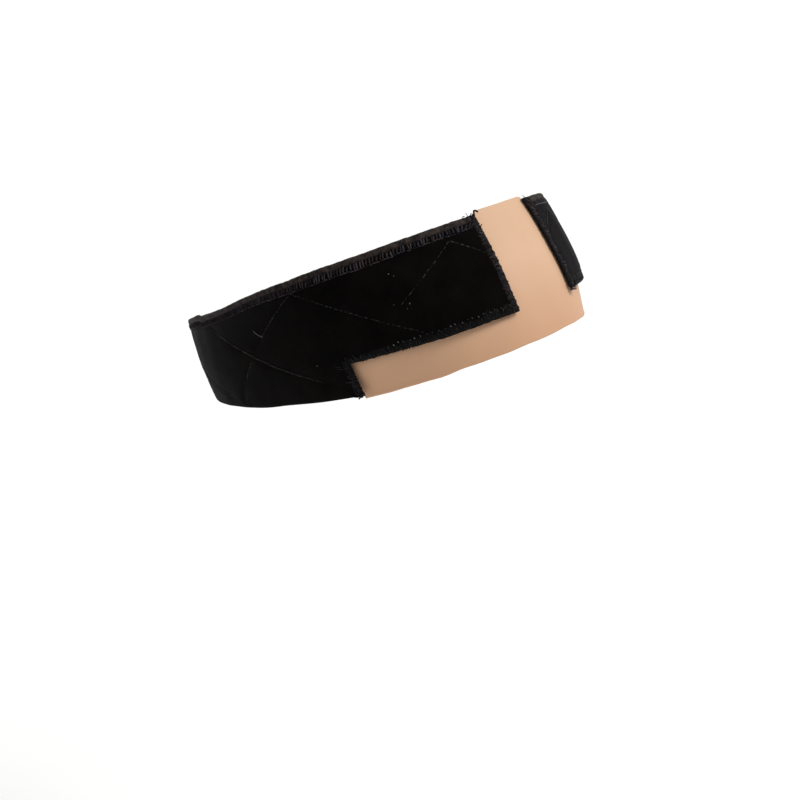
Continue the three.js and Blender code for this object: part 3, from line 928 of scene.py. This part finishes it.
def fastener_piece():
    lengths = steps(NAPE - FASTENER_LENGTH / 2, NAPE + FASTENER_LENGTH / 2, 1)
    low = side_edge_at(lengths) + FASTENER_MARGIN
    high = top_at(lengths) - TOP_HEM_HEIGHT - FASTENER_MARGIN
    rows = np.linspace(0, 1, 28)
    heights = low[:, None] + (high - low)[:, None] * rows
    long = np.broadcast_to(lengths[:, None], heights.shape)
    middle = SEAM_GAP + FASTENER_THICKNESS / 2
    half = np.full(long.shape, FASTENER_THICKNESS / 2)
    points, faces = shell(wall(RIGHT, long, heights, middle + half),
                          wall(RIGHT, long, heights, middle - half))
    flat = np.stack([long, heights, 0 * long], -1).reshape(-1, 3)
    piece = add_piece("hook_and_loop_tape", points, faces, hook_tape,
                      {"cloth": np.concatenate([flat, flat])})
    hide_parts("back_fastener")
    return piece


lace_piece()
fastener_piece()


# Loose threads and lint, placed by length and drop below the top edge

def loose_piece(name, rows, material):
    made = Threads()
    for row in rows:
        points = np.array(row["path"], float)
        points[:, 1] = top_at(points[:, 0]) - points[:, 1]
        line = curve_through(points[None], 6 * len(points))
        made.add(on_wall(row.get("side", RIGHT), line), row["radius"], 6, row["shade"], 0.5)
    return made.piece(name, material, "thread")


LOOSE_DARK = [
    {"path": [(17.4, 1.2, 0.1), (16.8, -0.2, 0.3), (16.2, -0.9, 0.3), (15.2, -0.7, 0.2), (14.3, 0.0, 0.0)],
     "radius": 0.36, "shade": 0.02},
    {"path": [(20.9, 1.0, 0.4), (20.7, -0.2, 0.5), (20.8, -1.0, 0.4)], "radius": 0.14, "shade": 0.1},
    {"path": [(22.9, 1.0, 0.4), (23.3, 0.2, 0.5), (22.6, -0.1, 0.5), (22.0, 0.2, 0.2)],
     "radius": 0.15, "shade": 0.1},
    {"path": [(19.5, 0.9, 0.4), (18.8, 0.0, 0.5), (18.2, -0.1, 0.4), (17.7, 0.3, 0.2)],
     "radius": 0.17, "shade": 0.05},
    {"path": [(18.2, 5.8, 0.4), (17.0, 5.4, 0.5), (16.0, 4.9, 0.3)], "radius": 0.18, "shade": 0.05},
    {"path": [(92.6, 51.2, 0.2), (91.0, 52.2, 0.3), (89.4, 52.6, 0.2), (88.4, 52.3, 0.0)], "radius": 0.4,
     "shade": 0.05},
    {"path": [(95.4, 52.2, 0.2), (94.2, 52.7, 0.3), (92.8, 53.2, 0.2), (91.6, 53.2, 0.0)], "radius": 0.34,
     "shade": 0.08},
    {"path": [(92.4, 51.6, 0.2), (91.4, 52.9, 0.4), (90.8, 53.7, 0.2), (89.9, 53.6, 0.0)], "radius": 0.36,
     "shade": 0.04},
    {"path": [(95.6, 40.2, 0.1), (94.0, 40.6, 0.3), (92.6, 41.0, 0.2)], "radius": 0.12, "shade": 0.4},
    {"path": [(96.4, 38.6, 0.1), (94.8, 39.6, 0.3), (93.4, 39.8, 0.2)], "radius": 0.12, "shade": 0.35},
    {"path": [(86.2, 36.2, 0.1), (85.4, 37.6, 0.35), (84.2, 38.6, 0.2)], "radius": 0.14, "shade": 0.4},
    {"path": [(87.6, 36.8, 0.1), (86.9, 38.2, 0.35), (86.4, 39.4, 0.2)], "radius": 0.12, "shade": 0.3},
    {"path": [(94.9, 46.2, 0.1), (93.4, 46.5, 0.35), (91.9, 46.3, 0.2)], "radius": 0.14, "shade": 0.45},
]
LOOSE_PALE = [
    {"path": [(129.8, 18.5, 0.0), (130.8, 18.1, 0.2), (132.3, 17.0, 0.35), (133.6, 15.8, 0.4),
              (134.6, 14.5, 0.2)],
     "radius": 0.12, "shade": 0.85},
    {"path": [(130.4, 17.7, 0.0), (132.2, 16.9, 0.3), (133.2, 15.9, 0.3)], "radius": 0.1, "shade": 0.3},
    {"path": [(22.0, 4.6, 0.0), (27.0, 4.7, 0.2), (34.0, 4.9, 0.25), (41.0, 5.0, 0.1)], "radius": 0.2,
     "shade": 0.4, "side": LEFT},
    {"path": [(60.4, 11.2, 0.1), (60.6, 11.1, 0.2), (60.8, 11.2, 0.1)], "radius": 0.2, "shade": 0.7},
    {"path": [(58.7, 12.4, 0.1), (58.8, 12.5, 0.2), (59.0, 12.5, 0.1)], "radius": 0.16, "shade": 0.55},
    {"path": [(104.9, 36.6, 0.1), (105.1, 36.5, 0.2), (105.3, 36.6, 0.1)], "radius": 0.2, "shade": 0.7},
    {"path": [(56.1, 24.0, 0.1), (56.3, 24.1, 0.2), (56.4, 24.3, 0.1)], "radius": 0.2, "shade": 0.8},
    {"path": [(57.6, 25.6, 0.1), (57.7, 25.7, 0.15), (57.9, 25.7, 0.1)], "radius": 0.15, "shade": 0.3},
    {"path": [(62.0, 22.6, 0.1), (62.2, 22.7, 0.15), (62.4, 22.9, 0.1)], "radius": 0.15, "shade": 0.25},
]
loose_piece("loose_thread_ends", LOOSE_DARK, thread)
loose_piece("loose_pale_fibres", LOOSE_PALE, pale_thread)


# Floor, light and camera

def add_floor():
    mesh = bpy.data.meshes.new("floor")
    far = FLOOR_REACH
    corners = [(-far, -far), (far, -far), (far, far), (-far, far)]
    mesh.from_pydata([(x, y, -FLOOR_DROP) for x, y in corners], [], [(0, 1, 2, 3)])
    look = Look("pale_floor")
    look.set(Base_Color=(0.95, 0.96, 0.955, 1), Roughness=0.9, Specular_IOR_Level=0.05)
    mesh.materials.append(look.material)
    floor = bpy.data.objects.new("floor", mesh)
    bpy.context.scene.collection.objects.link(floor)


def add_sun(name, source, strength, spread, colour):
    """Soft light from one direction. source points from the band towards the light."""
    data = bpy.data.lights.new(name, "SUN")
    data.energy, data.angle, data.color = strength, math.radians(spread), colour
    light = bpy.data.objects.new(name, data)
    light.rotation_euler = Vector(source).to_track_quat("Z", "Y").to_euler()
    bpy.context.scene.collection.objects.link(light)


def add_world(strength):
    world = bpy.data.worlds.new("studio")
    world.use_nodes = True
    background = world.node_tree.nodes["Background"]
    background.inputs["Color"].default_value = (1, 1, 0.985, 1)
    background.inputs["Strength"].default_value = strength
    bpy.context.scene.world = world


def add_camera():
    look = Vector((math.sin(CAMERA_TURN) * math.cos(CAMERA_PITCH),
                   math.cos(CAMERA_TURN) * math.cos(CAMERA_PITCH), -math.sin(CAMERA_PITCH)))
    right = Vector((math.cos(CAMERA_TURN), -math.sin(CAMERA_TURN), 0))
    up = right.cross(look)
    reach = CAMERA_DISTANCE / (PHOTO_SIDE * LENS / SENSOR)
    across = (SEAT_PIXEL[0] - PHOTO_SIDE / 2) * reach
    upwards = (PHOTO_SIDE / 2 - SEAT_PIXEL[1]) * reach
    data = bpy.data.cameras.new("camera")
    data.lens, data.sensor_width = LENS, SENSOR
    data.clip_start, data.clip_end = 0.01, 50
    camera = bpy.data.objects.new("camera", data)
    spot = -(right * across + up * upwards + look * CAMERA_DISTANCE)
    turn = Matrix((right, up, -look)).transposed().to_4x4()
    camera.matrix_world = Matrix.Translation(spot) @ turn
    bpy.context.scene.collection.objects.link(camera)
    bpy.context.scene.camera = camera


add_floor()
add_world(WORLD_STRENGTH)
for sun_name, sun in SUNS.items():
    add_sun(sun_name, **sun)
add_camera()
bpy.context.scene.view_settings.view_transform = "Standard"
